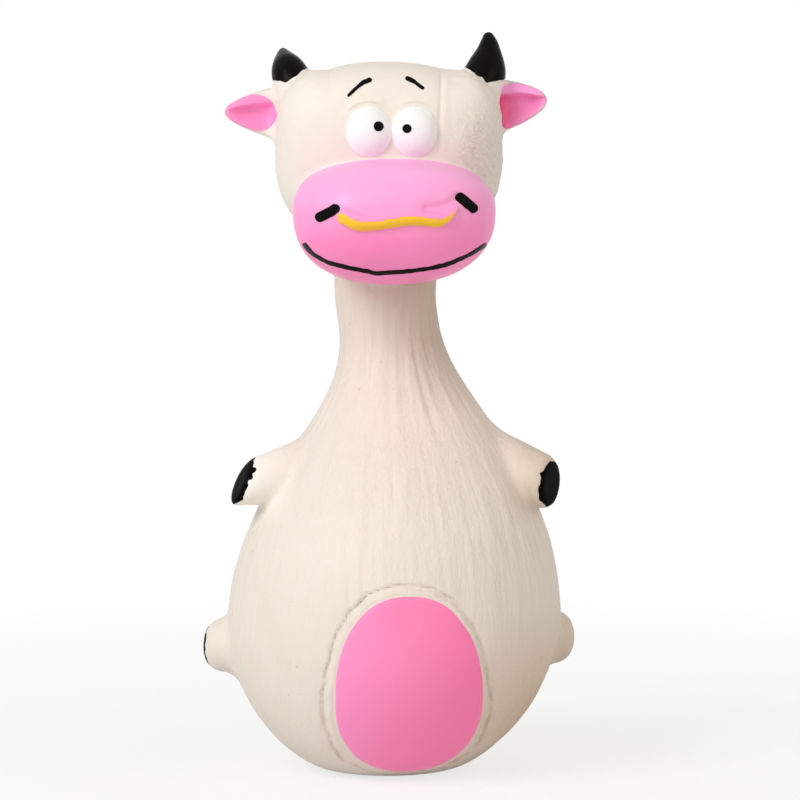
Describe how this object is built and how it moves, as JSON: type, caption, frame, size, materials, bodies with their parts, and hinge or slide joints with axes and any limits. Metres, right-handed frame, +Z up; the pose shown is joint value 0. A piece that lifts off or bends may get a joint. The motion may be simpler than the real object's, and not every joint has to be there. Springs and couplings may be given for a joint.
{
  "type": "squeaky dog toy",
  "caption": "Latex squeaky dog toy shaped like a sitting cow, with a long bending neck, soft ears and horns, a pink belly that presses in and a reed squeaker in its base.",
  "frame": {"origin": "middle of the flat base that the toy stands on", "axes": "+Z up, the toy faces -Y, +X is on the viewer's right"},
  "size_m": [0.0821, 0.0722, 0.1599],
  "materials": {
    "cream_latex": "satin natural latex",
    "pink_paint": "satin flexible paint on latex",
    "black_paint": "satin flexible paint on latex",
    "white_paint": "satin flexible paint on latex",
    "yellow_paint": "satin flexible paint on latex",
    "fibre": "loose polyester fibre",
    "plug_plastic": "moulded polyethylene",
    "reed_film": "clear film strip"
  },
  "bodies": {
    "body": {"body_skin": "cream_latex", "left_front_leg": "cream_latex", "right_front_leg": "cream_latex", "left_hind_leg": "cream_latex", "right_hind_leg": "cream_latex", "left_front_hoof": "black_paint", "right_front_hoof": "black_paint", "left_hind_hoof": "black_paint", "right_hind_hoof": "black_paint", "body_filling": "fibre", "squeaker_housing": "plug_plastic", "squeaker_grille": "plug_plastic", "reed_block": "plug_plastic", "reed_clamp": "plug_plastic"},
    "belly": {"belly_patch": "pink_paint"},
    "reed": {"reed_tongue": "reed_film"},
    "lower_neck": {"lower_neck": "cream_latex", "lower_neck_filling": "fibre"},
    "upper_neck": {"upper_neck": "cream_latex", "upper_neck_filling": "fibre"},
    "head": {"head_skin": "cream_latex", "muzzle": "pink_paint", "head_filling": "fibre", "left_eye": "white_paint", "right_eye": "white_paint", "left_pupil": "black_paint", "right_pupil": "black_paint", "left_brow": "black_paint", "right_brow": "black_paint", "left_nostril": "black_paint", "right_nostril": "black_paint", "mouth_line": "black_paint", "nose_ring": "yellow_paint"},
    "left_ear": {"left_ear": "cream_latex", "left_ear_lining": "pink_paint"},
    "right_ear": {"right_ear": "cream_latex", "right_ear_lining": "pink_paint"},
    "left_horn": {"left_horn": "black_paint"},
    "right_horn": {"right_horn": "black_paint"}
  },
  "joints": [
    {"name": "belly_press", "type": "slide", "parent": "body", "child": "belly", "axis": [-0.0785, 0.9969, 0], "range_m": [0, 0.008], "stiffness_N_per_m": 300, "deforming": ["body_filling"]},
    {"name": "reed_lift", "type": "hinge", "parent": "body", "child": "reed", "pos_m": [0, 0, 0.0121], "axis": [-0.9969, -0.0785, 0], "range_deg": [0, 8]},
    {"name": "neck_sway", "type": "hinge", "parent": "body", "child": "lower_neck", "pos_m": [0.00146, 0.00012, 0.0845], "axis": [0, 1, 0], "range_deg": [-18, 18], "stiffness_Nm_per_rad": 0.3, "deforming": ["lower_neck", "lower_neck_filling"]},
    {"name": "neck_nod", "type": "hinge", "parent": "lower_neck", "child": "upper_neck", "pos_m": [0.00035, 0.00003, 0.0955], "axis": [1, 0, 0], "range_deg": [-18, 24], "stiffness_Nm_per_rad": 0.3, "deforming": ["upper_neck", "upper_neck_filling"]},
    {"name": "head_turn", "type": "hinge", "parent": "upper_neck", "child": "head", "pos_m": [-0.0005, -0.00004, 0.105], "axis": [0, 0, 1], "range_deg": [-30, 30], "stiffness_Nm_per_rad": 0.15},
    {"name": "left_ear_flap", "type": "hinge", "parent": "head", "child": "left_ear", "pos_m": [-0.02344, -0.002, 0.1424], "axis": [-0.1564, 0, -0.9877], "range_deg": [-30, 35], "stiffness_Nm_per_rad": 0.0005},
    {"name": "right_ear_flap", "type": "hinge", "parent": "head", "child": "right_ear", "pos_m": [0.02344, -0.002, 0.1424], "axis": [-0.1564, 0, 0.9877], "range_deg": [-30, 35], "stiffness_Nm_per_rad": 0.0005},
    {"name": "left_horn_bend", "type": "hinge", "parent": "head", "child": "left_horn", "pos_m": [-0.018, 0, 0.1475], "axis": [-1, 0, 0], "range_deg": [-15, 15], "stiffness_Nm_per_rad": 0.001},
    {"name": "right_horn_bend", "type": "hinge", "parent": "head", "child": "right_horn", "pos_m": [0.018, 0, 0.1475], "axis": [-1, 0, 0], "range_deg": [-15, 15], "stiffness_Nm_per_rad": 0.001}
  ],
  "couplings": [
    {"joint": "reed_lift", "follows": "belly_press", "rad_per_m": 17.436}
  ]
}
